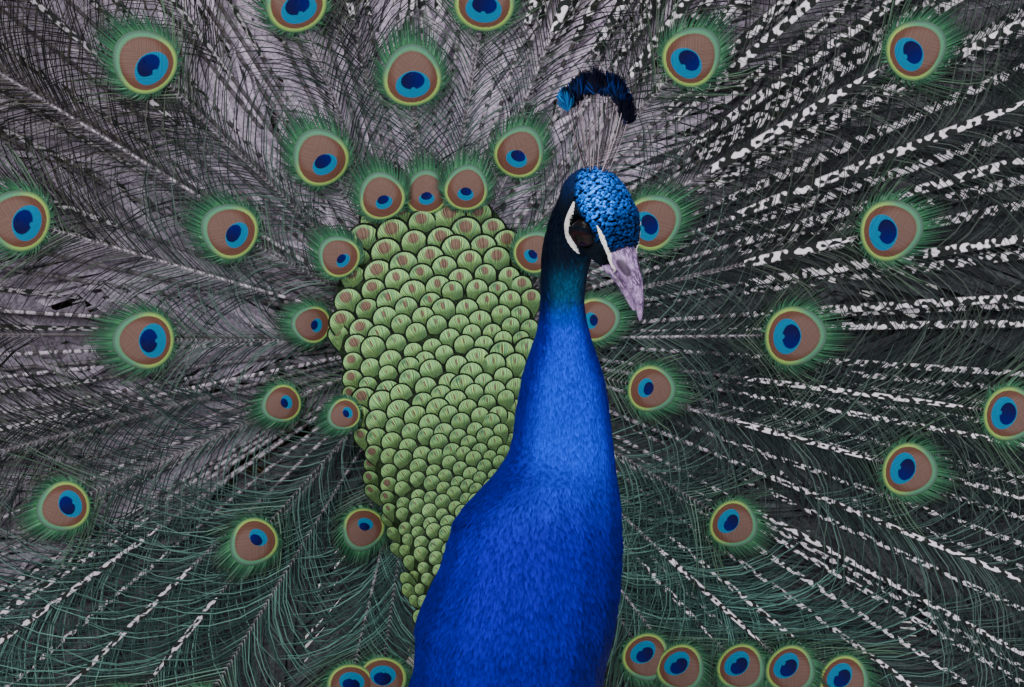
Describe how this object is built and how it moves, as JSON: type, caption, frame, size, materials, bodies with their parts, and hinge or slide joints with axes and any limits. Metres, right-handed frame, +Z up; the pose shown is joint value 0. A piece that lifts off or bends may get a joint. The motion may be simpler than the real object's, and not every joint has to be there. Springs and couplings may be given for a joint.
{
  "type": "displaying peacock model",
  "caption": "Life-size still model of a male Indian peafowl, standing with its train raised in a full fan behind the blue neck and head.",
  "frame": {"origin": "middle of the bounding box at floor level, under the bird's body", "axes": "+Z up, the bird faces -Y, +X is the bird's own left"},
  "size_m": [2.2, 0.4059, 1.6722],
  "materials": {
    "blue_plumage": "dense iridescent blue feathers, satin",
    "dark_down": "soft dark brown and black body feathers",
    "back_scales": "overlapping green and bronze scale feathers with dark rims",
    "bill_horn": "horn, pinkish grey, worn satin",
    "eye_brown": "wet, dark brown",
    "crest_plumes": "bare shafts with dark blue fan tips",
    "train_vanes": "loose green and bronze barbs on pale shafts, with eye spots",
    "wing_coverts": "buff feathers barred with black",
    "flight_feathers": "chestnut flight feathers",
    "tail_feathers": "stiff brown tail feathers",
    "leg_scutes": "grey horny scutes"
  },
  "bodies": {
    "root": {"back": "back_scales", "bill_lower": "bill_horn", "bill_upper": "bill_horn", "breast": "blue_plumage", "crest": "crest_plumes", "eye_left": "eye_brown", "eye_right": "eye_brown", "flight_feathers_left": "flight_feathers", "flight_feathers_right": "flight_feathers", "foot_left": "leg_scutes", "foot_right": "leg_scutes", "head": "blue_plumage", "neck_lower": "blue_plumage", "neck_upper": "blue_plumage", "shank_left": "leg_scutes", "shank_right": "leg_scutes", "tail": "tail_feathers", "tail_root": "dark_down", "thigh_left": "dark_down", "thigh_right": "dark_down", "train_01": "train_vanes", "train_02": "train_vanes", "train_03": "train_vanes", "train_04": "train_vanes", "train_05": "train_vanes", "train_06": "train_vanes", "train_07": "train_vanes", "train_08": "train_vanes", "train_09": "train_vanes", "train_10": "train_vanes", "train_11": "train_vanes", "train_12": "train_vanes", "train_13": "train_vanes", "train_14": "train_vanes", "train_15": "train_vanes", "train_16": "train_vanes", "train_17": "train_vanes", "train_18": "train_vanes", "train_19": "train_vanes", "train_20": "train_vanes", "train_21": "train_vanes", "train_22": "train_vanes", "train_23": "train_vanes", "train_24": "train_vanes", "train_25": "train_vanes", "train_26": "train_vanes", "train_27": "train_vanes", "train_28": "train_vanes", "train_29": "train_vanes", "train_30": "train_vanes", "train_31": "train_vanes", "train_32": "train_vanes", "train_33": "train_vanes", "train_34": "train_vanes", "train_root": "train_vanes", "trunk": "dark_down", "wing_left": "wing_coverts", "wing_right": "wing_coverts"}
  },
  "joints": []
}
